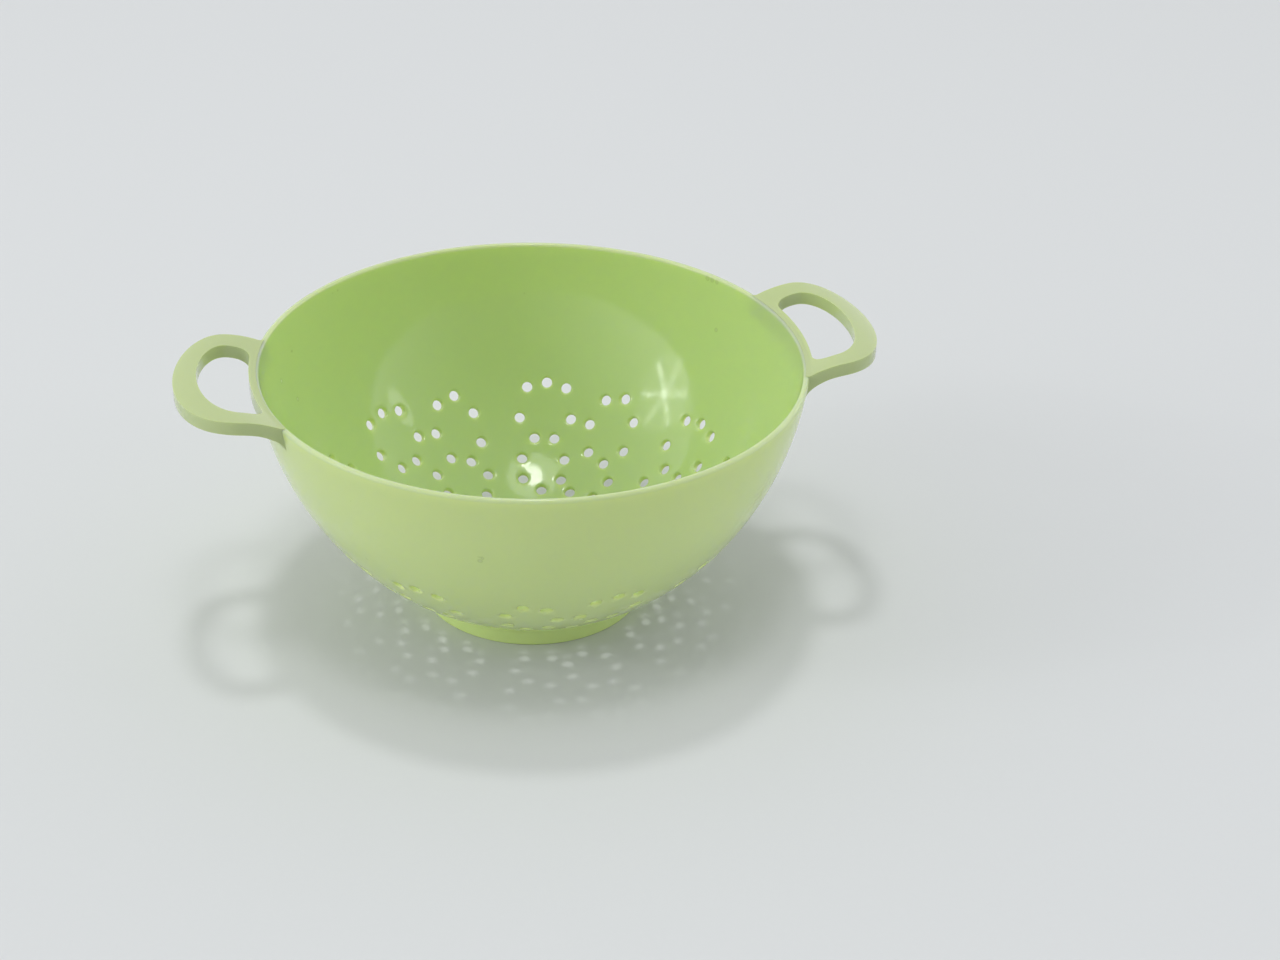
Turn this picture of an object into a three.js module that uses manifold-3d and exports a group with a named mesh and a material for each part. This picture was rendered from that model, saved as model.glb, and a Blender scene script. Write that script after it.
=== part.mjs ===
// A colander: a perforated bowl on a short foot ring, with a loop handle on each side of its rim.
// Millimetres, +Z up. The origin is the centre of the foot's underside, and the handles lie along X.

import * as THREE from 'three';
import { mergeVertices } from 'three/addons/utils/BufferGeometryUtils.js';
import Module from 'manifold-3d';

const wasm = await Module();
wasm.setup();

// Bowl: its outer wall follows an ellipse whose centre stands above the rim.
const RIM_HEIGHT = 114;
const BOWL_RADIUS = 119;
const CENTRE_ABOVE_RIM = 15.4;
const ELLIPSE_BELOW_GROUND = 3.2;
const WALL = 3;
const FLOOR_HEIGHT = 6;
const FLOOR_BLEND = 4;

// Foot ring, and the fine gap where one piece follows the surface of its neighbour.
const FOOT_RADIUS = 49.2;
const FOOT_WALL = 3;
const JOINT_GAP = 0.3;

// Handles: loops that arch up from the rim to a crest, with a rounded web under each root.
const HANDLE_PROJECTION = 33;
const HANDLE_HALF_WIDTH = 40;
const HANDLE_BEND = 25;
const HANDLE_BAND = 9.9;
const HANDLE_STRIP = 1.5;
const HANDLE_CORNER = 8;
const HANDLE_THICKNESS = 5.8;
const HANDLE_RISE = 4.4;
const HANDLE_CREST = 19;
const HANDLE_WEB = 8.5;
const HANDLE_WEB_DROP = 5;

// Drain holes: each sector of the wall has one figure-of-eight column, and one oval column a share
// of a sector further round. Heights are measured along the middle of the wall from the lowest
// point of its ellipse.
const HOLE_DIAMETER = 4.8;
const SECTORS = 7;
const EIGHT_AZIMUTH = THREE.MathUtils.degToRad(74.1);
const OVAL_PLACE = 0.57;
const EIGHT_TOP = 113.4;
const EIGHT_BOTTOM = 60;
const EIGHT_PAIRS = [
  { name: 'shoulders', half: 9.3, height: 111.2 },
  { name: 'sides', half: 12.2, height: 96.6 },
  { name: 'waist', half: 4.7, height: 86.5 },
  { name: 'hips', half: 10, height: 76.4 },
  { name: 'knees', half: 8.9, height: 66 },
];
const OVAL = { holes: 7, height: 94.4, halfWidth: 10.9, halfHeight: 16.8, turn: 3 };
const OVAL_FEET = [
  { across: -7.4, height: 69.8 },
  { across: -3.2, height: 60 },
  { across: 8.5, height: 60.2 },
];
const FLOOR_RINGS = [
  { holes: 7, radius: 31 },
  { holes: 7, radius: 16 },
  { holes: 1, radius: 0 },
];

// Facets
const ROUND_STEPS = 42;
const WALL_STEPS = 8;
const BLEND_STEPS = 2;
const RIM_STEPS = 4;
const HOLE_SIDES = 6;
const HANDLE_STEPS = 14;
const ARCH_STEPS = 8;
const WEB_STEPS = 4;
const ARC_LENGTH_STEPS = 4000;

const CENTRE_HEIGHT = RIM_HEIGHT + CENTRE_ABOVE_RIM;
const BOWL_DEPTH = CENTRE_HEIGHT + ELLIPSE_BELOW_GROUND;
const MID_WALL = WALL / 2;
const UP = new THREE.Vector3(0, 1, 0);

// A point of the wall's ellipse at an angle from straight down, moved in from the outer surface.
function wallPoint(angle, inset) {
  const radius = (BOWL_RADIUS - inset) * Math.sin(angle);
  const height = CENTRE_HEIGHT - (BOWL_DEPTH - inset) * Math.cos(angle);
  return new THREE.Vector2(radius, height);
}

function wallAngleAtHeight(height, inset) {
  return Math.acos((CENTRE_HEIGHT - height) / (BOWL_DEPTH - inset));
}

function wallRadiusAtHeight(height, inset) {
  return wallPoint(wallAngleAtHeight(height, inset), inset).x;
}

function wallHeightAtRadius(radius, inset) {
  return wallPoint(Math.asin(radius / (BOWL_RADIUS - inset)), inset).y;
}

// The wall angle that lies a given length along the middle of the wall from its lowest point.
function wallAngleAlong(length) {
  const step = Math.PI / 2 / ARC_LENGTH_STEPS;
  let angle = 0;
  let travelled = 0;
  while (travelled < length) {
    travelled += wallPoint(angle, MID_WALL).distanceTo(wallPoint(angle + step, MID_WALL));
    angle += step;
  }
  return angle;
}

const RIM_RADIUS = wallRadiusAtHeight(RIM_HEIGHT - MID_WALL, 0);

// One skin of the bowl from the edge of its flat floor to just under the rounded rim.
function wallSkin(inset) {
  const floor = FLOOR_HEIGHT + inset;
  const cornerAngle = wallAngleAtHeight(floor, inset);
  const corner = wallPoint(cornerAngle, inset);
  const startAngle = cornerAngle + FLOOR_BLEND / BOWL_RADIUS;
  const rimAngle = wallAngleAtHeight(RIM_HEIGHT - MID_WALL, inset);
  const flatEdge = new THREE.Vector2(corner.x - FLOOR_BLEND, floor);
  const blend = new THREE.QuadraticBezierCurve(flatEdge, corner, wallPoint(startAngle, inset));
  const points = blend.getPoints(BLEND_STEPS);
  for (let i = 1; i <= WALL_STEPS; i += 1) {
    points.push(wallPoint(THREE.MathUtils.lerp(startAngle, rimAngle, i / WALL_STEPS), inset));
  }
  return points;
}

// The half-round top of the rim, between the two skins.
function rimArc(outer, inner) {
  const middle = outer.clone().add(inner).multiplyScalar(0.5);
  const half = outer.distanceTo(inner) / 2;
  const points = [];
  for (let i = 1; i < RIM_STEPS; i += 1) {
    const turn = (Math.PI * i) / RIM_STEPS;
    points.push(new THREE.Vector2(middle.x + half * Math.cos(turn), middle.y + MID_WALL * Math.sin(turn)));
  }
  return points;
}

// A solid of revolution about Z from its half section.
function turned(section) {
  return new THREE.LatheGeometry(section, ROUND_STEPS).rotateX(Math.PI / 2);
}

function toSolid(geometry) {
  const bare = geometry.clone();
  bare.deleteAttribute('normal');
  bare.deleteAttribute('uv');
  const merged = mergeVertices(bare);
  const corners = [];
  for (let i = 0; i < merged.index.count; i += 3) {
    const [a, b, c] = [0, 1, 2].map((k) => merged.index.getX(i + k));
    if (a !== b && b !== c && c !== a) {
      corners.push(a, b, c);
    }
  }
  return new wasm.Manifold(
    new wasm.Mesh({
      numProp: 3,
      vertProperties: new Float32Array(merged.attributes.position.array),
      triVerts: new Uint32Array(corners),
    }),
  );
}

function toGeometry(solid) {
  const mesh = solid.getMesh();
  const geometry = new THREE.BufferGeometry();
  geometry.setAttribute('position', new THREE.BufferAttribute(mesh.vertProperties, 3));
  geometry.setIndex(new THREE.BufferAttribute(mesh.triVerts, 1));
  geometry.computeVertexNormals();
  return geometry;
}

// A plug that stands square to the wall, or to the floor where the direction is straight up.
function plug(position, direction) {
  const radius = HOLE_DIAMETER / 2;
  const cylinder = new THREE.CylinderGeometry(radius, radius, 2 * WALL, HOLE_SIDES);
  cylinder.applyQuaternion(new THREE.Quaternion().setFromUnitVectors(UP, direction));
  return cylinder.translate(position.x, position.y, position.z);
}

// A plug through the wall, a length across from an azimuth and a length along the wall.
function wallPlug(azimuth, across, length) {
  const angle = wallAngleAlong(length);
  const point = wallPoint(angle, MID_WALL);
  const turn = azimuth + across / point.x;
  const slope = new THREE.Vector2(
    Math.sin(angle) / (BOWL_RADIUS - MID_WALL),
    -Math.cos(angle) / (BOWL_DEPTH - MID_WALL),
  ).normalize();
  const position = new THREE.Vector3(point.x * Math.cos(turn), point.x * Math.sin(turn), point.y);
  const direction = new THREE.Vector3(slope.x * Math.cos(turn), slope.x * Math.sin(turn), slope.y);
  return plug(position, direction);
}

function eightColumn(azimuth) {
  const plugs = [wallPlug(azimuth, 0, EIGHT_TOP), wallPlug(azimuth, 0, EIGHT_BOTTOM)];
  for (const pair of EIGHT_PAIRS) {
    plugs.push(wallPlug(azimuth, -pair.half, pair.height));
    plugs.push(wallPlug(azimuth, pair.half, pair.height));
  }
  return plugs;
}

function ovalColumn(azimuth) {
  const plugs = OVAL_FEET.map((foot) => wallPlug(azimuth, foot.across, foot.height));
  for (let i = 0; i < OVAL.holes; i += 1) {
    const turn = THREE.MathUtils.degToRad(OVAL.turn) + (2 * Math.PI * i) / OVAL.holes;
    const across = OVAL.halfWidth * Math.cos(turn);
    plugs.push(wallPlug(azimuth, across, OVAL.height + OVAL.halfHeight * Math.sin(turn)));
  }
  return plugs;
}

function floorPlugs(ring) {
  const plugs = [];
  for (let i = 0; i < ring.holes; i += 1) {
    const turn = EIGHT_AZIMUTH + (2 * Math.PI * i) / ring.holes;
    const height = FLOOR_HEIGHT + MID_WALL;
    const position = new THREE.Vector3(ring.radius * Math.cos(turn), ring.radius * Math.sin(turn), height);
    plugs.push(plug(position, new THREE.Vector3(0, 0, 1)));
  }
  return plugs;
}

function drainPlugs() {
  const sector = (2 * Math.PI) / SECTORS;
  const plugs = FLOOR_RINGS.flatMap(floorPlugs);
  for (let i = 0; i < SECTORS; i += 1) {
    const azimuth = EIGHT_AZIMUTH + i * sector;
    plugs.push(...eightColumn(azimuth), ...ovalColumn(azimuth + OVAL_PLACE * sector));
  }
  return plugs.map(toSolid).reduce((joined, solid) => joined.add(solid));
}

function bowlGeometry() {
  const outer = wallSkin(0);
  const inner = wallSkin(WALL).reverse();
  const section = [
    new THREE.Vector2(0, FLOOR_HEIGHT),
    ...outer,
    ...rimArc(outer.at(-1), inner[0]),
    ...inner,
    new THREE.Vector2(0, FLOOR_HEIGHT + WALL),
  ];
  return toGeometry(toSolid(turned(section)).subtract(drainPlugs()));
}

// The space that the bowl fills, with the joint gap all round it.
function bowlSpace() {
  const section = [
    new THREE.Vector2(0, FLOOR_HEIGHT - JOINT_GAP),
    ...wallSkin(-JOINT_GAP),
    new THREE.Vector2(0, RIM_HEIGHT),
  ];
  return toSolid(turned(section));
}

// A plain ring whose top is cut to the underside of the bowl.
function footGeometry() {
  const innerRadius = FOOT_RADIUS - FOOT_WALL;
  const top = wallHeightAtRadius(FOOT_RADIUS, -JOINT_GAP);
  const section = [
    new THREE.Vector2(innerRadius, 0),
    new THREE.Vector2(FOOT_RADIUS, 0),
    new THREE.Vector2(FOOT_RADIUS, top),
    new THREE.Vector2(innerRadius, top),
    new THREE.Vector2(innerRadius, 0),
  ];
  return toGeometry(toSolid(turned(section)).subtract(bowlSpace()));
}

// A flange all round the rim with the section of a handle: arched top, even thickness, web below.
function handleFlange(outerRadius) {
  const wallAt = (height) => new THREE.Vector2(wallRadiusAtHeight(height, -JOINT_GAP), height);
  const root = wallAt(RIM_HEIGHT);
  const archFrom = (radius, drop) => {
    const points = [];
    for (let i = 0; i <= ARCH_STEPS; i += 1) {
      const at = THREE.MathUtils.lerp(radius, outerRadius, i / ARCH_STEPS);
      const out = (at - root.x) / HANDLE_CREST;
      points.push(new THREE.Vector2(at, RIM_HEIGHT + HANDLE_RISE * out * (2 - out) - drop));
    }
    return points;
  };
  const webTop = wallAt(RIM_HEIGHT - HANDLE_THICKNESS);
  const webFoot = wallAt(webTop.y - HANDLE_WEB_DROP);
  const underside = archFrom(root.x + HANDLE_WEB, HANDLE_THICKNESS);
  const web = new THREE.QuadraticBezierCurve(webFoot, webTop, underside[0]);
  const section = [
    root,
    webTop,
    ...web.getPoints(WEB_STEPS),
    ...underside.slice(1),
    ...archFrom(root.x, 0).reverse(),
  ];
  return turned(section);
}

// The loop seen from above: straight legs, an elliptical end, and a D-shaped finger hole.
function handleOutline(reach) {
  const bendX = reach - HANDLE_BEND;
  const holeWidth = HANDLE_HALF_WIDTH - HANDLE_BAND;
  const holeBend = HANDLE_BEND - HANDLE_BAND;
  const holeInner = RIM_RADIUS + HANDLE_STRIP;
  const quarter = Math.PI / 2;

  const outline = new THREE.Shape();
  outline.moveTo(0, -HANDLE_HALF_WIDTH);
  outline.lineTo(bendX, -HANDLE_HALF_WIDTH);
  outline.absellipse(bendX, 0, HANDLE_BEND, HANDLE_HALF_WIDTH, -quarter, quarter, false, 0);
  outline.lineTo(0, HANDLE_HALF_WIDTH);

  const innerTurn = Math.asin((holeWidth - HANDLE_CORNER) / holeInner);
  const cornerX = Math.sqrt(holeInner ** 2 - holeWidth ** 2);
  const hole = new THREE.Path();
  hole.absarc(0, 0, holeInner, innerTurn, -innerTurn, true);
  hole.quadraticCurveTo(cornerX, -holeWidth, bendX, -holeWidth);
  hole.absellipse(bendX, 0, holeBend, holeWidth, -quarter, quarter, false, 0);
  const innerEnd = new THREE.Vector2(Math.cos(innerTurn), Math.sin(innerTurn)).multiplyScalar(holeInner);
  hole.quadraticCurveTo(cornerX, holeWidth, innerEnd.x, innerEnd.y);
  outline.holes.push(hole);
  return outline;
}

function handleGeometry() {
  const reach = RIM_RADIUS + HANDLE_PROJECTION;
  const prism = new THREE.ExtrudeGeometry(handleOutline(reach), {
    depth: 2 * RIM_HEIGHT,
    bevelEnabled: false,
    curveSegments: HANDLE_STEPS,
  });
  return toGeometry(toSolid(handleFlange(reach + HANDLE_BAND)).intersect(toSolid(prism)));
}

function plastic(colour) {
  return new THREE.MeshStandardMaterial({ color: colour, roughness: 0.28, metalness: 0 });
}

function named(name, geometry, colour) {
  const mesh = new THREE.Mesh(geometry, plastic(colour));
  mesh.name = name;
  return mesh;
}

const colander = new THREE.Group();
colander.add(named('bowl', bowlGeometry(), 0xa6c16c));
colander.add(named('foot_ring', footGeometry(), 0xa0b86c));
const rightHandle = named('right_handle', handleGeometry(), 0xb4c88a);
const leftHandle = named('left_handle', handleGeometry(), 0xb4c88a);
leftHandle.rotation.z = Math.PI;
colander.add(rightHandle, leftHandle);

export default colander;
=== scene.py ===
"""Looks of a moulded plastic colander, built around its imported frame.

The colander is one moulding in life. Its bowl, foot ring and two loop handles are four pieces here,
and the foot and handles are sunk a little into the bowl's wall, so that no joint shows.
All sizes are in metres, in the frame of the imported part.
"""

import logging
import math
from dataclasses import dataclass, field
from enum import Enum
from typing import Iterable

import bpy
from mathutils import Matrix, Quaternion, Vector


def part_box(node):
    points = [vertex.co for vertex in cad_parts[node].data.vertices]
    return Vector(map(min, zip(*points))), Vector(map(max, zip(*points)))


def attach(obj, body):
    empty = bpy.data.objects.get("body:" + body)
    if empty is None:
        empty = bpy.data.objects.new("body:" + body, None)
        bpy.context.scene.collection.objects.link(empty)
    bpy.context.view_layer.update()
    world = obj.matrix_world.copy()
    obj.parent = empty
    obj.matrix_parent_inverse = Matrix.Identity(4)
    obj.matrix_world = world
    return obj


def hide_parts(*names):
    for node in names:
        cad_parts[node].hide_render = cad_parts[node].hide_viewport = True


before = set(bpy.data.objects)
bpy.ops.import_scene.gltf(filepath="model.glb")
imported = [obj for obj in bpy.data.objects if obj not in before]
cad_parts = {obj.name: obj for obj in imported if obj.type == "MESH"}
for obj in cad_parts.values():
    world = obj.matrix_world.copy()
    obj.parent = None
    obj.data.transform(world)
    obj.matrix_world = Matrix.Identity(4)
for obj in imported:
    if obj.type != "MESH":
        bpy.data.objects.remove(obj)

LOG = logging.getLogger("colander")
ROOT_BODY = "root"
FULL_TURN = 2 * math.pi
MERGE_DISTANCE = 1e-6
SMOOTH_ANGLE = math.radians(38)

Colour = tuple[float, float, float]
Section = list[tuple[float, float]]
Stations = list[tuple[Vector, Vector]]


class Bench:
    """Modelling steps that the pieces share, each made with Blender's own operators."""

    @staticmethod
    def clear() -> None:
        """Leaves edit mode and deselects every object."""
        if bpy.context.mode != "OBJECT":
            bpy.ops.object.mode_set(mode="OBJECT")
        bpy.ops.object.select_all(action="DESELECT")

    @staticmethod
    def focus(piece: bpy.types.Object) -> None:
        """Selects one object alone and makes it active.

        Args:
            piece: The object to work on.
        """
        Bench.clear()
        piece.select_set(True)
        bpy.context.view_layer.objects.active = piece

    @staticmethod
    def start(name: str, point: Vector) -> bpy.types.Object:
        """Starts a drawing: a plane merged to one vertex, in edit mode.

        Args:
            name: The new object's name.
            point: Where the vertex goes.

        Returns:
            The new object, with its vertex selected.
        """
        Bench.clear()
        bpy.ops.mesh.primitive_plane_add(size=1.0, location=(0, 0, 0))
        drawing = bpy.context.object
        drawing.name = name
        drawing.data.name = name
        bpy.ops.object.mode_set(mode="EDIT")
        bpy.ops.mesh.select_mode(type="VERT")
        bpy.ops.mesh.select_all(action="SELECT")
        bpy.ops.mesh.merge(type="CENTER")
        bpy.ops.transform.translate(value=point)
        return drawing

    @staticmethod
    def trace(points: Iterable[Vector], start: Vector) -> None:
        """Extrudes the selected vertex from point to point.

        Args:
            points: The points after the first.
            start: Where the selected vertex is.
        """
        here = start
        for point in points:
            bpy.ops.mesh.extrude_region_move(TRANSFORM_OT_translate={"value": point - here})
            here = point

    @staticmethod
    def turn(name: str, section: Section, steps: int) -> bpy.types.Object:
        """Draws a half section and spins it once round the Z axis.

        Args:
            name: The new object's name.
            section: Radius and height of each point, from axis to axis or closed on itself.
            steps: How many steps the turn has.

        Returns:
            The turned solid, in object mode.
        """
        points = [Vector((radius, 0, height)) for radius, height in section]
        solid = Bench.start(name, points[0])
        Bench.trace(points[1:], points[0])
        bpy.ops.mesh.select_all(action="SELECT")
        bpy.ops.mesh.spin(steps=steps, angle=FULL_TURN, center=(0, 0, 0), axis=(0, 0, 1))
        Bench.close_mesh()
        return solid

    @staticmethod
    def close_mesh() -> None:
        """Merges doubles, turns every face outwards and leaves edit mode."""
        bpy.ops.mesh.select_all(action="SELECT")
        bpy.ops.mesh.remove_doubles(threshold=MERGE_DISTANCE)
        bpy.ops.mesh.normals_make_consistent(inside=False)
        bpy.ops.object.mode_set(mode="OBJECT")

    @staticmethod
    def modify(piece: bpy.types.Object, kind: str, **settings: object) -> None:
        """Adds a modifier and applies it.

        Args:
            piece: The object that gets it.
            kind: The modifier's type.
            **settings: The modifier's settings.
        """
        Bench.focus(piece)
        modifier = piece.modifiers.new(kind.title(), kind)
        for name, value in settings.items():
            setattr(modifier, name, value)
        bpy.ops.object.modifier_apply(modifier=modifier.name)

    @staticmethod
    def copies(model: bpy.types.Object, places: Iterable[Matrix]) -> bpy.types.Object:
        """Copies a model to each place and joins the copies.

        Args:
            model: The object that is copied, and then removed.
            places: One matrix for each copy.

        Returns:
            One object that holds every copy.
        """
        made = []
        for place in places:
            copy = model.copy()
            copy.data = model.data.copy()
            copy.data.transform(place)
            bpy.context.scene.collection.objects.link(copy)
            made.append(copy)
        bpy.data.objects.remove(model)
        Bench.clear()
        for copy in made:
            copy.select_set(True)
        bpy.context.view_layer.objects.active = made[0]
        bpy.ops.object.join()
        return made[0]

    @staticmethod
    def smooth(piece: bpy.types.Object) -> None:
        """Shades a piece smooth, with its real corners kept."""
        Bench.focus(piece)
        bpy.ops.object.shade_smooth_by_angle(angle=SMOOTH_ANGLE)


class Signal:
    """A shader socket that can be used in arithmetic: each operator adds a Math node."""

    def __init__(self, sheet: "ShaderSheet", socket: bpy.types.NodeSocket) -> None:
        """Wraps a socket of a sheet."""
        self.sheet = sheet
        self.socket = socket

    def _math(self, operation: str, first: "Signal | float", second: "Signal | float") -> "Signal":
        """Adds one Math node.

        Args:
            operation: The node's operation.
            first: Its first value.
            second: Its second value.

        Returns:
            The node's result.
        """
        made = self.sheet.node("ShaderNodeMath", {"operation": operation}, {0: first, 1: second})
        return Signal(self.sheet, made.outputs[0])

    def __add__(self, other: "Signal | float") -> "Signal":
        """Sum."""
        return self._math("ADD", self, other)

    def __radd__(self, other: float) -> "Signal":
        """Sum with a number first."""
        return self._math("ADD", other, self)

    def __sub__(self, other: "Signal | float") -> "Signal":
        """Difference."""
        return self._math("SUBTRACT", self, other)

    def __rsub__(self, other: float) -> "Signal":
        """Difference from a number."""
        return self._math("SUBTRACT", other, self)

    def __mul__(self, other: "Signal | float") -> "Signal":
        """Product."""
        return self._math("MULTIPLY", self, other)

    def __rmul__(self, other: float) -> "Signal":
        """Product with a number first."""
        return self._math("MULTIPLY", other, self)


class ShaderSheet:
    """The node tree of a material or of the world."""

    MIX_FACTOR = 0
    MIX_FIRST = 6
    MIX_SECOND = 7
    MIX_RESULT = 2

    def __init__(self, owner: bpy.types.Material | bpy.types.World) -> None:
        """Gives a material or a world an empty tree.

        Args:
            owner: The material or world.
        """
        self.owner = owner
        owner.use_nodes = True
        self.tree = owner.node_tree
        self.tree.nodes.clear()

    def node(self, kind: str, settings: dict | None = None, inputs: dict | None = None) -> bpy.types.Node:
        """Adds a node.

        Args:
            kind: The node's type.
            settings: The node's own settings, set first. A ramp's stops are position and grey level.
            inputs: Values or signals for its sockets.

        Returns:
            The new node.
        """
        made = self.tree.nodes.new(kind)
        for name, value in (settings or {}).items():
            if name == "stops":
                self._set_stops(made, value)
            else:
                setattr(made, name, value)
        for name, value in (inputs or {}).items():
            if isinstance(value, Signal):
                self.tree.links.new(value.socket, made.inputs[name])
            else:
                made.inputs[name].default_value = value
        return made

    @staticmethod
    def _set_stops(ramp: bpy.types.Node, stops: list[tuple[float, float]]) -> None:
        """Gives a ramp its two stops.

        Args:
            ramp: The ramp node.
            stops: Position and grey level of each stop.
        """
        for element, (position, level) in zip(ramp.color_ramp.elements, stops):
            element.position = position
            element.color = (level, level, level, 1.0)

    def place(self) -> Signal:
        """The point on the surface, in the part's frame."""
        return Signal(self, self.node("ShaderNodeTexCoord").outputs["Object"])

    def split(self, vector: Signal) -> list[Signal]:
        """The X, Y and Z components of a vector."""
        made = self.node("ShaderNodeSeparateXYZ", None, {"Vector": vector})
        return [Signal(self, socket) for socket in made.outputs]

    def distance(self, vector: Signal, other: tuple[float, float, float]) -> Signal:
        """The distance of a point from a fixed one."""
        made = self.node("ShaderNodeVectorMath", {"operation": "DISTANCE"}, {0: vector, 1: other})
        return Signal(self, made.outputs["Value"])

    def spread(self, value: Signal, start: tuple[float, float], end: tuple[float, float]) -> Signal:
        """A value led evenly from one level to another, and held beyond them.

        Args:
            value: The value to read.
            start: Where the change begins, and the level there.
            end: Where the change ends, and the level there.

        Returns:
            The level.
        """
        inputs = {"Value": value, "From Min": start[0], "To Min": start[1]}
        inputs |= {"From Max": end[0], "To Max": end[1]}
        return Signal(self, self.node("ShaderNodeMapRange", None, inputs).outputs["Result"])

    def noise(self, scale: float, detail: float = 2.0) -> Signal:
        """Noise over the surface.

        Args:
            scale: Features in a metre.
            detail: How many finer layers it has.

        Returns:
            Its level, from 0 to 1.
        """
        inputs = {"Vector": self.place(), "Scale": scale, "Detail": detail}
        return Signal(self, self.node("ShaderNodeTexNoise", None, inputs).outputs["Fac"])

    def ramp(self, level: Signal, low: float, high: float) -> Signal:
        """A level stretched so that low becomes 0 and high becomes 1."""
        made = self.node("ShaderNodeValToRGB", {"stops": [(low, 0.0), (high, 1.0)]}, {"Fac": level})
        return Signal(self, made.outputs["Color"])

    def mix(self, share: Signal, first: "Colour | Signal", second: Colour) -> Signal:
        """A mix of two colours.

        Args:
            share: How much of the second colour there is.
            first: The colour at share 0.
            second: The colour at share 1.

        Returns:
            The mixed colour.
        """
        start = first if isinstance(first, Signal) else (*first, 1.0)
        inputs = {self.MIX_FACTOR: share, self.MIX_FIRST: start, self.MIX_SECOND: (*second, 1.0)}
        made = self.node("ShaderNodeMix", {"data_type": "RGBA"}, inputs)
        return Signal(self, made.outputs[self.MIX_RESULT])

    def bump(self, height: Signal, depth: float) -> Signal:
        """A surface normal that follows a height.

        Args:
            height: The height, from 0 to 1.
            depth: How deep 0 lies under 1.

        Returns:
            The normal.
        """
        made = self.node("ShaderNodeBump", None, {"Height": height, "Strength": 1.0, "Distance": depth})
        return Signal(self, made.outputs["Normal"])

    def finish(self, shader: bpy.types.Node, output: str = "ShaderNodeOutputMaterial") -> None:
        """Ends the tree with a shader.

        Args:
            shader: The node whose first output is the surface.
            output: The type of the output node.
        """
        self.node(output, None, {"Surface": Signal(self, shader.outputs[0])})


@dataclass(frozen=True)
class BowlWall:
    """The curve of the bowl's wall: an ellipse turned about Z, whose centre stands above the rim."""

    rim_height: float
    half_width: float = 0.119
    centre_above_rim: float = 0.0154
    ellipse_below_ground: float = 0.0032
    thickness: float = 0.003
    floor_height: float = 0.006
    floor_blend: float = 0.004
    blend_rows: int = 4
    length_steps: int = 8000
    thinning_start: float = 0.06
    rim_thinning: float = 0.0004

    @property
    def centre_height(self) -> float:
        """Height of the ellipse's centre."""
        return self.rim_height + self.centre_above_rim

    @property
    def depth(self) -> float:
        """From the ellipse's centre straight down to its outer surface."""
        return self.centre_height + self.ellipse_below_ground

    def point(self, angle: float, inset: float) -> Vector:
        """A point of the wall.

        Args:
            angle: Angle on the ellipse from straight down.
            inset: How far in from the outer surface.

        Returns:
            Radius and height.
        """
        radius = (self.half_width - inset) * math.sin(angle)
        return Vector((radius, self.centre_height - (self.depth - inset) * math.cos(angle)))

    def normal(self, angle: float, inset: float) -> Vector:
        """The outward direction at a point of the wall.

        Args:
            angle: Angle on the ellipse from straight down.
            inset: How far in from the outer surface.

        Returns:
            The direction, as radius and height.
        """
        across = math.sin(angle) / (self.half_width - inset)
        down = -math.cos(angle) / (self.depth - inset)
        return Vector((across, down)).normalized()

    def angle_at_height(self, height: float, inset: float) -> float:
        """The ellipse angle where the wall reaches a height."""
        return math.acos((self.centre_height - height) / (self.depth - inset))

    def radius_at_height(self, height: float, inset: float = 0.0) -> float:
        """The wall's radius at a height."""
        return self.point(self.angle_at_height(height, inset), inset).x

    def angle_at_radius(self, radius: float, inset: float) -> float:
        """The ellipse angle where the wall reaches a radius."""
        return math.asin(radius / (self.half_width - inset))

    def angle_along(self, length: float) -> float:
        """The ellipse angle a length along the middle of the wall.

        Args:
            length: The length, from the ellipse's lowest point.

        Returns:
            The angle from straight down.
        """
        inset = self.thickness / 2
        step = math.pi / self.length_steps
        angle = 0.0
        travelled = 0.0
        while travelled < length:
            travelled += (self.point(angle + step, inset) - self.point(angle, inset)).length
            angle += step
        return angle

    def skin(self, inset: float, rows: int, top: float) -> Section:
        """One side of the bowl, from the edge of its flat floor up to a height.

        Args:
            inset: How far in from the outer surface.
            rows: Rows of faces up the wall.
            top: Where the skin ends.

        Returns:
            Radius and height of each point.
        """
        floor = self.floor_height + inset
        corner_angle = self.angle_at_height(floor, inset)
        corner = self.point(corner_angle, inset)
        first_angle = corner_angle + self.floor_blend / self.half_width
        flat_edge = Vector((corner.x - self.floor_blend, floor))
        first = self.point(first_angle, inset)
        points = []
        for row in range(self.blend_rows):
            share = row / self.blend_rows
            near, far = flat_edge.lerp(corner, share), corner.lerp(first, share)
            points.append(near.lerp(far, share))
        last_angle = self.angle_at_height(top, inset)
        for row in range(rows + 1):
            point = self.point(first_angle + (last_angle - first_angle) * row / rows, inset)
            points.append(point + Vector((self._thinning(point.y, inset), 0)))
        return [tuple(point) for point in points]

    def _thinning(self, height: float, inset: float) -> float:
        """How far the inner face moves out at a height, because the wall gets thinner towards its lip."""
        share = max(0.0, (height - self.thinning_start) / (self.rim_height - self.thinning_start))
        return self.rim_thinning * share * inset / self.thickness


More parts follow.
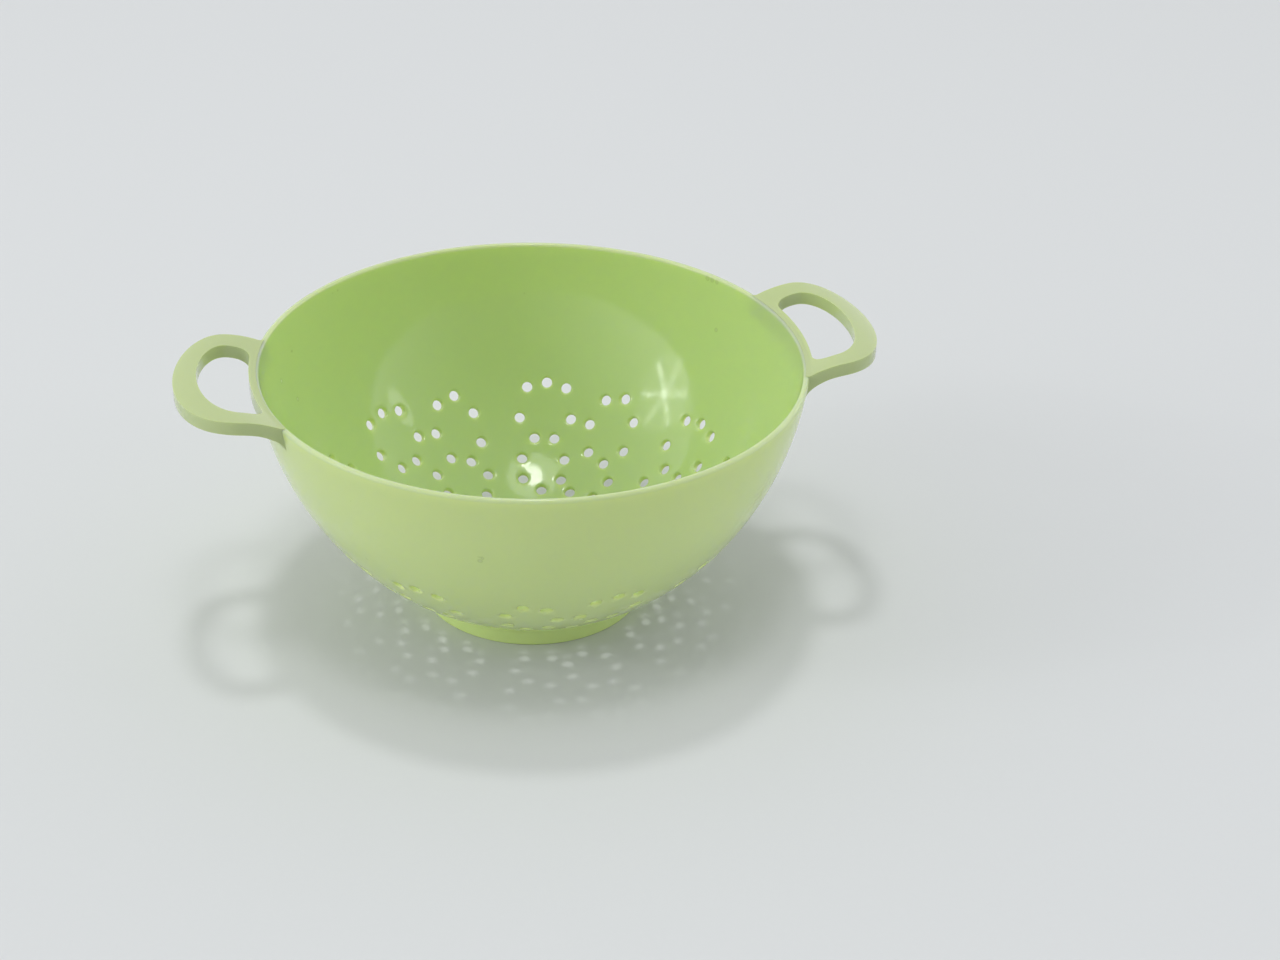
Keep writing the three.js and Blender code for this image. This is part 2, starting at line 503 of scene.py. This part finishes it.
@dataclass(frozen=True)
class MouldedPlastic:
    """Glossy green polypropylene with faint mottling, handling marks and a moulding ripple."""

    name: str
    colour: Colour
    deep_colour: Colour
    mark_colour: Colour = (0.24, 0.31, 0.14)
    mark_share: float = 0.4
    mark_levels: tuple[float, float] = (0.76, 0.8)
    mark_fray: float = 0.02
    mark_scale: float = 140.0
    mottle_scale: float = 16.0
    wipe_scale: float = 60.0
    ripple_scale: float = 90.0
    peel_scale: float = 900.0
    peel_share: float = 0.05
    ripple_depth: float = 0.00004
    roughness: float = 0.08
    roughness_spread: float = 0.04
    mark_roughness: float = 0.2
    refraction: float = 1.55
    glow: float = 1.0
    glow_depth: float = 0.0065
    glow_tint: Colour = (1.05, 1.0, 0.4)

    def material(self) -> bpy.types.Material:
        """Builds the material.

        Returns:
            A new material.
        """
        sheet = ShaderSheet(bpy.data.materials.new(self.name))
        ripple = sheet.noise(self.ripple_scale, detail=1.0)
        peel = sheet.noise(self.peel_scale, detail=1.0)
        wipe = sheet.noise(self.wipe_scale, detail=6.0)
        marks = self._marks(sheet, wipe)
        relief = (1 - self.peel_share) * ripple + self.peel_share * peel
        roughness = self.roughness + self.roughness_spread * (wipe - 0.5)
        inputs = {
            "Base Color": sheet.mix(marks * self.mark_share, self._body(sheet), self.mark_colour),
            "Roughness": roughness + self.mark_roughness * marks,
            "Normal": sheet.bump(relief, self.ripple_depth),
            "IOR": self.refraction,
            "Subsurface Weight": self.glow,
            "Subsurface Radius": self.glow_tint,
            "Subsurface Scale": self.glow_depth,
        }
        sheet.finish(sheet.node("ShaderNodeBsdfPrincipled", None, inputs))
        return sheet.owner

    def _body(self, sheet: ShaderSheet) -> Signal:
        """The mottled colour under the marks."""
        return sheet.mix(sheet.noise(self.mottle_scale, detail=3.0), self.colour, self.deep_colour)

    def _marks(self, sheet: ShaderSheet, wipe: Signal) -> Signal:
        """Small dull handling marks, as a level from 0 to 1.

        Args:
            sheet: The material's sheet.
            wipe: Fine noise that frays the edge of a mark.

        Returns:
            How far a point is marked.
        """
        return sheet.ramp(sheet.noise(self.mark_scale) + self.mark_fray * (wipe - 0.5), *self.mark_levels)


@dataclass(frozen=True, kw_only=True)
class BowlPlastic(MouldedPlastic):
    """The plastic of the bowl: greener inside, painted light for the light that bounces inside the bowl;
    less yellow along the lip, a painted sheen; and scuffed in a few places.
    """

    wall: BowlWall
    # Painted light: the inner face's deeper green stands in for light that bounces inside the bowl.
    inside_painted_bounce_colour: Colour = (0.485, 0.63, 0.278)
    # Painted sheen: the lip's whiter tone stands in for the sky's reflection along the lip.
    lip_sheen_colour: Colour = (0.485, 0.588, 0.365)
    lip_height: float = 0.0015
    lip_blend: float = 0.0005
    inside_blend: float = 0.01
    scuff_radius: float = 0.0013
    scuffs: tuple[tuple[float, float, float], ...] = (
        (0.0954, 0.065, 0.112),
        (0.097, 0.0626, 0.112),
        (0.0985, 0.0602, 0.112),
        (0.0971, 0.0538, 0.091),
        (-0.1025, 0.0427, 0.0919),
        (-0.0955, 0.0482, 0.0793),
        (-0.0423, -0.1024, 0.081),
    )

    def _body(self, sheet: ShaderSheet) -> Signal:
        """The mottled colour, with painted light on the bowl's inner face and a painted sheen along its
        lip.

        Args:
            sheet: The material's sheet.

        Returns:
            The colour under the marks.
        """
        x, y, z = sheet.split(sheet.place())
        # Painted light: the inner face gets a deeper green for the light that bounces inside the bowl.
        colour = sheet.mix(self._inside(sheet, x * x + y * y, z), super()._body(sheet), self.inside_painted_bounce_colour)
        # Painted sheen: the lip band gets a whiter tone for the sky's reflection along it.
        lip_start = self.wall.rim_height - self.lip_height
        lip = sheet.spread(z, (lip_start - self.lip_blend, 0.0), (lip_start + self.lip_blend, 1.0))
        return sheet.mix(lip, colour, self.lip_sheen_colour)

    def _marks(self, sheet: ShaderSheet, wipe: Signal) -> Signal:
        """Handling marks and scuffs, as a level from 0 to 1.

        Args:
            sheet: The material's sheet.
            wipe: Fine noise that frays the edge of a mark.

        Returns:
            How far a point is marked.
        """
        marks = super()._marks(sheet, wipe)
        for scuff in self.scuffs:
            away = sheet.distance(sheet.place(), scuff) + self.scuff_radius * (wipe - 0.5)
            marks = marks + sheet.spread(away, (self.scuff_radius * 0.5, 1.0), (self.scuff_radius, 0.0))
        return marks

    def _inside(self, sheet: ShaderSheet, spread: Signal, height: Signal) -> Signal:
        """How far a point lies on the inside of the bowl's wall.

        Args:
            sheet: The material's sheet.
            spread: The square of the point's distance from the axis.
            height: The point's height.

        Returns:
            1 on the inner face and 0 on the outer one.
        """
        half = self.wall.thickness / 2
        below = self.wall.centre_height - height
        across = spread * (self.wall.half_width - half) ** -2
        level = across + below * below * (self.wall.depth - half) ** -2
        return sheet.spread(level, (1 - self.inside_blend, 1.0), (1 + self.inside_blend, 0.0))


@dataclass(frozen=True)
class PaperSweep:
    """Pale matt background paper."""

    name: str = "background_paper"
    colour: Colour = (0.68, 0.702, 0.716)
    roughness: float = 0.9
    fibre_scale: float = 400.0
    fibre_tone: float = 0.985

    def material(self) -> bpy.types.Material:
        """Builds the material.

        Returns:
            A new material.
        """
        sheet = ShaderSheet(bpy.data.materials.new(self.name))
        fibre = sheet.noise(self.fibre_scale)
        darker = tuple(self.fibre_tone * level for level in self.colour)
        inputs = {"Base Color": sheet.mix(fibre, self.colour, darker), "Roughness": self.roughness}
        sheet.finish(sheet.node("ShaderNodeBsdfPrincipled", None, inputs))
        return sheet.owner


@dataclass(frozen=True)
class HolePlace:
    """Where a drain hole is, within its column."""

    across: float
    length: float


class Column(Enum):
    """The two hole columns that take turns round the wall, by their share of a sector."""

    EIGHT = 0.0
    OVAL = 0.57

    def holes(self) -> list[HolePlace]:
        """The holes of this column.

        Returns:
            Their places, from the column's middle line and along the wall.
        """
        if self is Column.EIGHT:
            pairs = [(0.0093, 0.1112), (0.0122, 0.0966), (0.0047, 0.0865), (0.01, 0.0764), (0.0089, 0.066)]
            ends = [HolePlace(0.0, 0.1134), HolePlace(0.0, 0.06)]
            return ends + [HolePlace(side * half, length) for half, length in pairs for side in (-1, 1)]
        feet = [HolePlace(-0.0074, 0.0698), HolePlace(-0.0032, 0.06), HolePlace(0.0085, 0.0602)]
        count, first_turn = 7, math.radians(3)
        middle, half_width, half_height = 0.0944, 0.0109, 0.0168
        turns = [first_turn + FULL_TURN * hole / count for hole in range(count)]
        return feet + [
            HolePlace(half_width * math.cos(turn), middle + half_height * math.sin(turn)) for turn in turns
        ]


class Moulding:
    """A form of the moulding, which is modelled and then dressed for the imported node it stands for."""

    node: str

    def build(self) -> bpy.types.Object:
        """Models the form."""
        raise NotImplementedError

    def make(self, material: bpy.types.Material) -> bpy.types.Object:
        """Models the form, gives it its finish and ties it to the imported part.

        Args:
            material: The finish.

        Returns:
            The dressed piece.
        """
        piece = self.build()
        piece.data.materials.clear()
        piece.data.materials.append(material)
        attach(piece, ROOT_BODY)
        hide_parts(self.node)
        return piece


@dataclass
class Bowl(Moulding):
    """The bowl: a turned shell with a rounded lip, pierced by drain holes with soft edges."""

    wall: BowlWall
    node: str = "bowl"
    turn_steps: int = 252
    wall_rows: int = 44
    lip_rows: int = 10
    lip_squareness: float = 2.1
    hole_radius: float = 0.0024
    hole_sides: int = 20
    edge_radius: float = 0.0009
    edge_rows: int = 4
    edge_turn: float = math.radians(75)
    edge_over: float = 0.2
    cut_margin: float = 0.001
    sectors: int = 7
    first_column: float = math.radians(74.1)
    floor_rings: tuple[tuple[int, float], ...] = ((7, 0.031), (7, 0.016), (1, 0.0))
    floor_rows: tuple[float, ...] = (0.01, 0.02, 0.03)

    def build(self) -> bpy.types.Object:
        """Models the bowl.

        Returns:
            The finished mesh object.
        """
        piece = Bench.turn("colander_bowl", self._section(), self.turn_steps)
        cutter = self._cutter()
        Bench.modify(piece, "BOOLEAN", operation="DIFFERENCE", solver="EXACT", object=cutter)
        bpy.data.objects.remove(cutter)
        Bench.smooth(piece)
        return piece

    def _section(self) -> Section:
        """The shell's half section.

        Returns:
            Radius and height of each point, from the axis under the floor to the axis above it.
        """
        wall = self.wall
        half = wall.thickness / 2
        lip_base = wall.rim_height - half
        outer = wall.skin(0.0, self.wall_rows, lip_base)
        inner = wall.skin(wall.thickness, self.wall_rows, lip_base)
        under, over = wall.floor_height, wall.floor_height + wall.thickness
        section = [(0.0, under)] + [(radius, under) for radius in self.floor_rows]
        section += outer + self._lip(outer[-1][0], inner[-1][0], lip_base, half) + inner[::-1]
        section += [(radius, over) for radius in reversed(self.floor_rows)] + [(0.0, over)]
        return section

    def _lip(self, outer: float, inner: float, base: float, height: float) -> Section:
        """The top of the lip: a half round, squared a little so that its crest is nearly flat.

        Args:
            outer: Radius of its outer foot.
            inner: Radius of its inner foot.
            base: Height of both.
            height: How far the crest stands above them.

        Returns:
            Radius and height of each point between the feet.
        """
        middle, half = (outer + inner) / 2, (outer - inner) / 2
        power = 2 / self.lip_squareness
        points = []
        for row in range(1, self.lip_rows):
            turn = math.pi * row / self.lip_rows
            across = math.copysign(abs(math.cos(turn)) ** power, math.cos(turn))
            points.append((middle + half * across, base + height * math.sin(turn) ** power))
        return points

    def _cutter(self) -> bpy.types.Object:
        """The plugs that cut the holes.

        Returns:
            Every hole's plug, in one object.
        """
        sector = FULL_TURN / self.sectors
        places = []
        for column in Column:
            azimuth = self.first_column + column.value * sector
            places += [self._wall_place(azimuth, hole) for hole in column.holes()]
        turns = [Matrix.Rotation(sector * index, 4, "Z") for index in range(self.sectors)]
        places = [turn @ place for turn in turns for place in places]
        middle = self.wall.floor_height + self.wall.thickness / 2
        for count, radius in self.floor_rings:
            for index in range(count):
                turn = Matrix.Rotation(self.first_column + FULL_TURN * index / count, 4, "Z")
                places.append(turn @ Matrix.Translation((radius, 0, middle)))
        return Bench.copies(self._plug(), places)

    def _wall_place(self, azimuth: float, hole: HolePlace) -> Matrix:
        """The place of a plug that stands square to the wall.

        Args:
            azimuth: Where its column stands round the bowl.
            hole: Its place in the column.

        Returns:
            The plug's matrix.
        """
        inset = self.wall.thickness / 2
        angle = self.wall.angle_along(hole.length)
        radius, height = self.wall.point(angle, inset)
        across, down = self.wall.normal(angle, inset)
        turn = Matrix.Rotation(azimuth + hole.across / radius, 4, "Z")
        tilt = Vector((0, 0, 1)).rotation_difference(Vector((across, 0, down))).to_matrix().to_4x4()
        return turn @ Matrix.Translation((radius, 0, height)) @ tilt

    def _plug(self) -> bpy.types.Object:
        """A plug that flares where it meets each side of the wall, and so rounds the hole's edges.

        Returns:
            The plug, along Z and centred on the origin.
        """
        half = self.wall.thickness / 2
        flare = []
        for row in range(self.edge_rows + 1):
            turn = self.edge_turn * row / self.edge_rows
            radius = self.hole_radius + self.edge_radius * (1 - math.cos(turn))
            flare.append((radius, half - self.edge_radius * (1 - math.sin(turn))))
        rise = half + self.cut_margin
        end_radius = self.hole_radius + 2 * self.edge_radius
        flare.append((end_radius, half + self.edge_radius * self.edge_over))
        upper = flare + [(end_radius, rise), (0.0, rise)]
        lower = [(radius, -height) for radius, height in reversed(upper)]
        return Bench.turn("drain_plug", lower + upper, self.hole_sides)


@dataclass
class FootRing(Moulding):
    """The foot: a thin ring with a soft lower edge that runs into the bowl with a small fillet."""

    wall: BowlWall
    node: str = "foot_ring"
    radius: float = 0.0492
    thickness: float = 0.003
    edge_radius: float = 0.0008
    edge_rows: int = 4
    fillet: float = 0.0022
    fillet_rows: int = 6
    sunk: float = 0.0012
    turn_steps: int = 168

    def build(self) -> bpy.types.Object:
        """Models the foot.

        Returns:
            The finished mesh object.
        """
        piece = Bench.turn("colander_foot_ring", self._section(), self.turn_steps)
        Bench.smooth(piece)
        return piece

    def _section(self) -> Section:
        """The ring's closed half section.

        Returns:
            Radius and height of each point, from the lower inner edge round to it again.
        """
        inner = self.radius - self.thickness
        floor_top = self.wall.floor_height + self.sunk
        section = self._edge(inner + self.edge_radius, math.pi)
        section += self._edge(self.radius - self.edge_radius, 1.5 * math.pi)
        section += self._fillet_points()
        section += [(inner, floor_top), section[0]]
        return section

    def _edge(self, centre: float, first_turn: float) -> Section:
        """A quarter round of the lower edge.

        Args:
            centre: Radius of the round's centre.
            first_turn: Where the quarter starts.

        Returns:
            Radius and height of each point.
        """
        points = []
        for row in range(self.edge_rows + 1):
            turn = first_turn + math.pi / 2 * row / self.edge_rows
            radius = centre + self.edge_radius * math.cos(turn)
            points.append((radius, self.edge_radius * (1 + math.sin(turn))))
        return points

    def _fillet_points(self) -> Section:
        """The curve that leads from the ring's side into the bowl's wall.

        Returns:
            Radius and height of each point. The last one lies inside the wall.
        """
        corner_angle = self.wall.angle_at_radius(self.radius, 0.0)
        corner = self.wall.point(corner_angle, 0.0)
        start = corner - Vector((0, self.fillet))
        end = self.wall.point(corner_angle + self.fillet / self.wall.half_width, 0.0)
        points = []
        for row in range(self.fillet_rows + 1):
            share = row / self.fillet_rows
            points.append(start.lerp(corner, share).lerp(corner.lerp(end, share), share))
        inward = self.wall.normal(corner_angle, 0.0) * -self.sunk
        return [tuple(point) for point in points] + [tuple(end + inward)]


class HandleSide(Enum):
    """Which side of the bowl a handle is on: its node, and its turn from the right-hand one."""

    RIGHT = ("right_handle", 0.0)
    LEFT = ("left_handle", math.pi)

    @property
    def node(self) -> str:
        """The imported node's name."""
        return self.value[0]

    @property
    def turn(self) -> float:
        """The handle's turn about Z."""
        return self.value[1]


@dataclass
class LoopHandle(Moulding):
    """A loop that arches up from the rim to a crest, with rounded edges and a web under its roots."""

    wall: BowlWall
    side: HandleSide
    reach: float
    half_width: float = 0.04
    bend: float = 0.025
    band: float = 0.0099
    strip: float = 0.0015
    corner: float = 0.008
    thickness: float = 0.0058
    rise: float = 0.00475
    crest: float = 0.019
    lift: float = 0.00015
    web: float = 0.0085
    web_drop: float = 0.005
    sunk: float = 0.0016
    edge_radius: float = 0.0011
    edge_rows: int = 4
    edge_angle: float = math.radians(40)
    leg_steps: int = 18
    leg_crowding: float = 1.3
    bend_steps: int = 44
    corner_steps: int = 8
    strip_steps: int = 28
    band_cuts: int = 4
    web_halvings: int = 30

    @property
    def node(self) -> str:
        """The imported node's name."""
        return self.side.node

    @property
    def rim_radius(self) -> float:
        """The bowl's radius just under its lip."""
        return self.wall.radius_at_height(self.wall.rim_height - self.wall.thickness / 2)

    def build(self) -> bpy.types.Object:
        """Models the handle.

        Returns:
            The finished mesh object.
        """
        piece = self._flat_loop(f"colander_{self.side.node}")
        self._raise(piece)
        Bench.modify(
            piece,
            "BEVEL",
            width=self.edge_radius,
            segments=self.edge_rows,
            limit_method="ANGLE",
            angle_limit=self.edge_angle,
        )
        piece.data.transform(Matrix.Rotation(self.side.turn, 4, "Z"))
        Bench.smooth(piece)
        return piece

    def _stations(self) -> Stations:
        """The outlines of the loop and of its finger hole.

        Returns:
            Matching points of both, all the way round.
        """
        half_loop = self._bend_half() + self._leg() + self._root_corner() + self._strip_half()
        back = reversed(half_loop[1:-1])
        return half_loop + [(self._flipped(outer), self._flipped(inner)) for outer, inner in back]

    @staticmethod
    def _flipped(point: Vector) -> Vector:
        """The same point on the other side of the handle's middle line."""
        return Vector((point.x, -point.y))

    def _bend_half(self) -> Stations:
        """From the tip of the loop to the end of its bend.

        Returns:
            Matching points of both outlines.
        """
        bend_x = self.reach - self.bend
        hole_bend, hole_half = self.bend - self.band, self.half_width - self.band
        steps = self.bend_steps // 2
        points = []
        for step in range(steps):
            turn = math.pi / 2 * step / steps
            outer = Vector((bend_x + self.bend * math.cos(turn), self.half_width * math.sin(turn)))
            inner = Vector((bend_x + hole_bend * math.cos(turn), hole_half * math.sin(turn)))
            points.append((outer, inner))
        return points

    @property
    def _hole_corner(self) -> Vector:
        """The sharp corner that the finger hole's rounded one stands for.

        Returns:
            Where the hole's side would meet its inner arc.
        """
        hole_half = self.half_width - self.band
        inner_radius = self.rim_radius + self.strip
        return Vector((math.sqrt(inner_radius**2 - hole_half**2), hole_half))

    @property
    def _buried_radius(self) -> float:
        """How far from the axis the loop ends, inside the bowl's lip."""
        return self.rim_radius - self.sunk

    def _leg(self) -> Stations:
        """A straight leg, from the bend, with its steps closer together towards the root.

        Returns:
            Matching points of both outlines.
        """
        bend_x = self.reach - self.bend
        root_x = math.sqrt(self._buried_radius**2 - self.half_width**2)
        hole_x = self._hole_corner.x + self.corner
        points = []
        for step in range(self.leg_steps):
            share = 1 - (1 - step / self.leg_steps) ** self.leg_crowding
            outer = Vector((bend_x + (root_x - bend_x) * share, self.half_width))
            inner = Vector((bend_x + (hole_x - bend_x) * share, self._hole_corner.y))
            points.append((outer, inner))
        return points

    def _root_corner(self) -> Stations:
        """The rounded corner of the finger hole beside the bowl.

        Returns:
            Matching points of both outlines.
        """
        inner_radius = self.rim_radius + self.strip
        first_turn = math.asin(self.half_width / self._buried_radius)
        last_turn = self._strip_turn()
        leg_end = self._hole_corner + Vector((self.corner, 0))
        arc_end = inner_radius * Vector((math.cos(last_turn), math.sin(last_turn)))
        points = []
        for step in range(self.corner_steps):
            share = step / self.corner_steps
            turn = first_turn + (last_turn - first_turn) * share
            outer = self._buried_radius * Vector((math.cos(turn), math.sin(turn)))
            near = leg_end.lerp(self._hole_corner, share)
            points.append((outer, near.lerp(self._hole_corner.lerp(arc_end, share), share)))
        return points

    def _strip_turn(self) -> float:
        """The azimuth where the finger hole's inner arc ends."""
        return math.asin((self._hole_corner.y - self.corner) / (self.rim_radius + self.strip))

    def _strip_half(self) -> Stations:
        """Half of the strip along the bowl, up to the handle's middle line.

        Returns:
            Matching points of both outlines.
        """
        points = []
        steps = self.strip_steps // 2
        for step in range(steps + 1):
            turn = self._strip_turn() * (1 - step / steps)
            ray = Vector((math.cos(turn), math.sin(turn)))
            points.append((self._buried_radius * ray, (self.rim_radius + self.strip) * ray))
        return points

    def _flat_loop(self, name: str) -> bpy.types.Object:
        """Draws both outlines flat, bridges them and pulls the band down to a solid.

        Args:
            name: The new object's name.

        Returns:
            The flat loop, in object mode.
        """
        stations = self._stations()
        outer = [point.to_3d() for point, _ in stations]
        inner = [point.to_3d() for _, point in stations]
        piece = Bench.start(name, outer[0])
        Bench.trace(outer[1:] + outer[:1], outer[0])
        bpy.ops.mesh.select_all(action="DESELECT")
        return self._second_outline(piece, inner)

    def _second_outline(self, piece: bpy.types.Object, inner: list[Vector]) -> bpy.types.Object:
        """Draws the finger hole as an object of its own, joins it to the outer outline and bridges them.

        Args:
            piece: The outer outline.
            inner: The points of the finger hole.

        Returns:
            The flat loop, in object mode.
        """
        hole = Bench.start("finger_hole", inner[0])
        Bench.trace(inner[1:] + inner[:1], inner[0])
        Bench.focus(piece)
        hole.select_set(True)
        bpy.ops.object.join()
        bpy.ops.object.mode_set(mode="EDIT")
        bpy.ops.mesh.select_all(action="SELECT")
        bpy.ops.mesh.remove_doubles(threshold=MERGE_DISTANCE)
        bpy.ops.mesh.bridge_edge_loops(number_cuts=self.band_cuts, interpolation="LINEAR")
        bpy.ops.mesh.select_all(action="SELECT")
        bpy.ops.mesh.extrude_region_move(TRANSFORM_OT_translate={"value": (0, 0, -self.thickness)})
        Bench.close_mesh()
        return piece

    def _raise(self, piece: bpy.types.Object) -> None:
        """Lifts the flat loop to its arched top and draws its underside down into the web.

        Args:
            piece: The flat loop.
        """
        for vertex in piece.data.vertices:
            radius = math.hypot(vertex.co.x, vertex.co.y)
            on_top = vertex.co.z > -self.thickness / 2
            if on_top:
                vertex.co.z = self._top(radius)
                continue
            vertex.co.z = self._underside(radius)
            if radius < self._buried_radius + MERGE_DISTANCE:
                buried = self.wall.radius_at_height(vertex.co.z) - self.sunk
                vertex.co.x *= buried / radius
                vertex.co.y *= buried / radius

    def _top(self, radius: float) -> float:
        """Height of the handle's top at a radius: level over the lip, then up to the crest."""
        out = max(0.0, (radius - self.wall.radius_at_height(self.wall.rim_height)) / self.crest)
        return self.wall.rim_height + self.lift + self.rise * out * (2 - out)

    def _underside(self, radius: float) -> float:
        """Where the handle's underside lies, down the web near the bowl.

        Args:
            radius: Distance from the bowl's axis.

        Returns:
            The underside's height there.
        """
        web_end = self.rim_radius + self.web
        if radius >= web_end:
            return self._top(radius) - self.thickness
        web_top = self.wall.rim_height - self.thickness
        web_foot = web_top - self.web_drop
        start = Vector((web_end, self._top(web_end) - self.thickness))
        middle = Vector((self.wall.radius_at_height(web_top), web_top))
        end = Vector((self.wall.radius_at_height(web_foot), web_foot))
        low, high = 0.0, 1.0
        for _ in range(self.web_halvings):
            share = (low + high) / 2
            point = start.lerp(middle, share).lerp(middle.lerp(end, share), share)
            if point.x > radius:
                low = share
            else:
                high = share
        return point.y


@dataclass(frozen=True)
class Lamp:
    """A soft lamp that points at the colander, oval or, as a strip, square at its ends.

    A lamp without a glint lights the plastic, but leaves no mirror image of itself in it.
    """

    name: str
    place: tuple[float, float, float]
    size: tuple[float, float]
    power: float
    strip: bool = False
    turn: float = 0.0
    glint: bool = True

    def build(self, target: Vector) -> None:
        """Adds the lamp.

        Args:
            target: What it points at.
        """
        Bench.clear()
        bpy.ops.object.light_add(type="AREA", location=self.place)
        lamp = bpy.context.object
        lamp.name = self.name
        lamp.data.shape = "RECTANGLE" if self.strip else "ELLIPSE"
        lamp.data.size, lamp.data.size_y = self.size
        lamp.data.energy = self.power
        lamp.visible_glossy = self.glint
        aim = (target - Vector(self.place)).to_track_quat("-Z", "Y")
        lamp.rotation_euler = (aim @ Quaternion((0, 0, 1), self.turn)).to_euler()


@dataclass(frozen=True)
class Umbrella:
    """An umbrella lamp: a dim disk crossed by bright ribs."""

    name: str
    place: tuple[float, float, float]
    disk: float
    disk_power: float
    rib: tuple[float, float]
    rib_power: float
    ribs: int = 3

    def build(self, target: Vector) -> None:
        """Adds the disk and its ribs.

        Args:
            target: What they point at.
        """
        Lamp(f"{self.name}_disk", self.place, (self.disk, self.disk), self.disk_power).build(target)
        for rib in range(self.ribs):
            turn = math.pi * rib / self.ribs
            Lamp(f"{self.name}_rib_{rib}", self.place, self.rib, self.rib_power, True, turn).build(target)


@dataclass
class Studio:
    """Paper, lamps and camera."""

    paper: PaperSweep
    paper_size: float = 30.0
    dome_light: float = 0.53
    back_lean: float = 0.45
    side_light: float = 1.4
    left_lean: float = 0.04
    side_top: float = math.radians(60)
    target: Vector = field(default_factory=lambda: Vector((0, 0, 0.06)))
    lamps: tuple[Lamp | Umbrella, ...] = (
        Lamp("overhead_core", (-0.12, -0.7, 4.0), (0.7, 0.7), 13.0),
        Lamp("overhead_shade", (-0.16, -0.65, 4.0), (1.6, 1.6), 13.0),
        Lamp("overhead_back", (0.03, 0.68, 4.0), (0.48, 0.48), 26.0, glint=False),
        Umbrella("left_umbrella", (-3.27, -0.16, 1.57), 1.6, 4.0, (0.07, 1.5), 5.0),
        Lamp("right_lamp", (2.94, -1.22, 1.74), (0.5, 0.9), 2.0),
    )
    camera_distance: float = 0.908126
    camera_height: float = 0.587696
    camera_bearing: float = math.radians(11.7)
    camera_swing: float = 0.05192
    camera_pitch: float = 0.530838
    camera_roll: float = 0.024484
    focal_length_px: float = 2400.0
    picture_width_px: float = 1280.0
    sensor_width_mm: float = 36.0

    def build(self) -> None:
        """Makes the whole studio."""
        self._lay_paper()
        self._light()
        self._aim_camera()

    def _lay_paper(self) -> None:
        """Lays the paper under the colander."""
        Bench.clear()
        bpy.ops.mesh.primitive_plane_add(size=self.paper_size, location=(0, 0, 0))
        paper = bpy.context.object
        paper.name = "paper_floor"
        paper.data.materials.append(self.paper.material())

    def _light(self) -> None:
        """Sets the lamps and the light of the surroundings, bright to the sides and dim to the front."""
        sheet = ShaderSheet(bpy.data.worlds.new("studio_world"))
        direction = Signal(sheet, sheet.node("ShaderNodeTexCoord").outputs["Generated"])
        x, y, z = sheet.split(direction)
        sides = sheet.spread(z, (0.0, self.side_light), (math.sin(self.side_top), 0.0))
        dome = self.dome_light + self.dome_light * self.back_lean * y
        level = dome + sides * (x * x - self.left_lean * x)
        inputs = {"Color": (1.0, 1.0, 1.0, 1.0), "Strength": level}
        sheet.finish(sheet.node("ShaderNodeBackground", None, inputs), "ShaderNodeOutputWorld")
        bpy.context.scene.world = sheet.owner
        for lamp in self.lamps:
            lamp.build(self.target)

    def _aim_camera(self) -> None:
        """Stands the camera where the photograph was taken from."""
        Bench.clear()
        bpy.ops.object.camera_add()
        camera = bpy.context.object
        camera.name = "photo_camera"
        camera.data.sensor_width = self.sensor_width_mm
        camera.data.lens = self.focal_length_px / self.picture_width_px * self.sensor_width_mm
        bearing = Matrix.Rotation(-self.camera_bearing, 4, "Z")
        place = Matrix.Translation((0, -self.camera_distance, self.camera_height))
        swing = Matrix.Rotation(-self.camera_swing, 4, "Z")
        pitch = Matrix.Rotation(math.pi / 2 - self.camera_pitch, 4, "X")
        roll = Matrix.Rotation(self.camera_roll, 4, "Z")
        camera.matrix_world = bearing @ place @ swing @ pitch @ roll
        bpy.context.scene.camera = camera


def main() -> None:
    """Builds the colander and its studio, and reports each piece."""
    logging.basicConfig(level=logging.INFO, format="%(name)s: %(message)s")
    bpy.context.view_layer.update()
    bpy.context.scene.view_settings.view_transform = "Standard"
    wall = BowlWall(rim_height=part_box("bowl")[1].z)
    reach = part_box("right_handle")[1].x
    shell = BowlPlastic("green_plastic_bowl", (0.545, 0.652, 0.318), (0.535, 0.642, 0.308), wall=wall)
    dense = {"glow": 0.35, "glow_depth": 0.0025}
    # Painted light: the foot's colour is far brighter than the bowl's and stands in for light that comes
    # through the plastic onto it.
    foot = MouldedPlastic("green_plastic_foot_painted_light", (0.66, 0.83, 0.31), (0.65, 0.82, 0.3), **dense)
    loop = MouldedPlastic("green_plastic_handle", (0.475, 0.57, 0.268), (0.465, 0.56, 0.258), **dense)
    forms = [(Bowl(wall), shell.material()), (FootRing(wall), foot.material())]
    loop_material = loop.material()
    forms += [(LoopHandle(wall, side, reach), loop_material) for side in HandleSide]
    for form, material in forms:
        piece = form.make(material)
        LOG.info("%s stands for %s with %d faces", piece.name, form.node, len(piece.data.polygons))
    Studio(PaperSweep()).build()


if __name__ == "__main__":
    main()
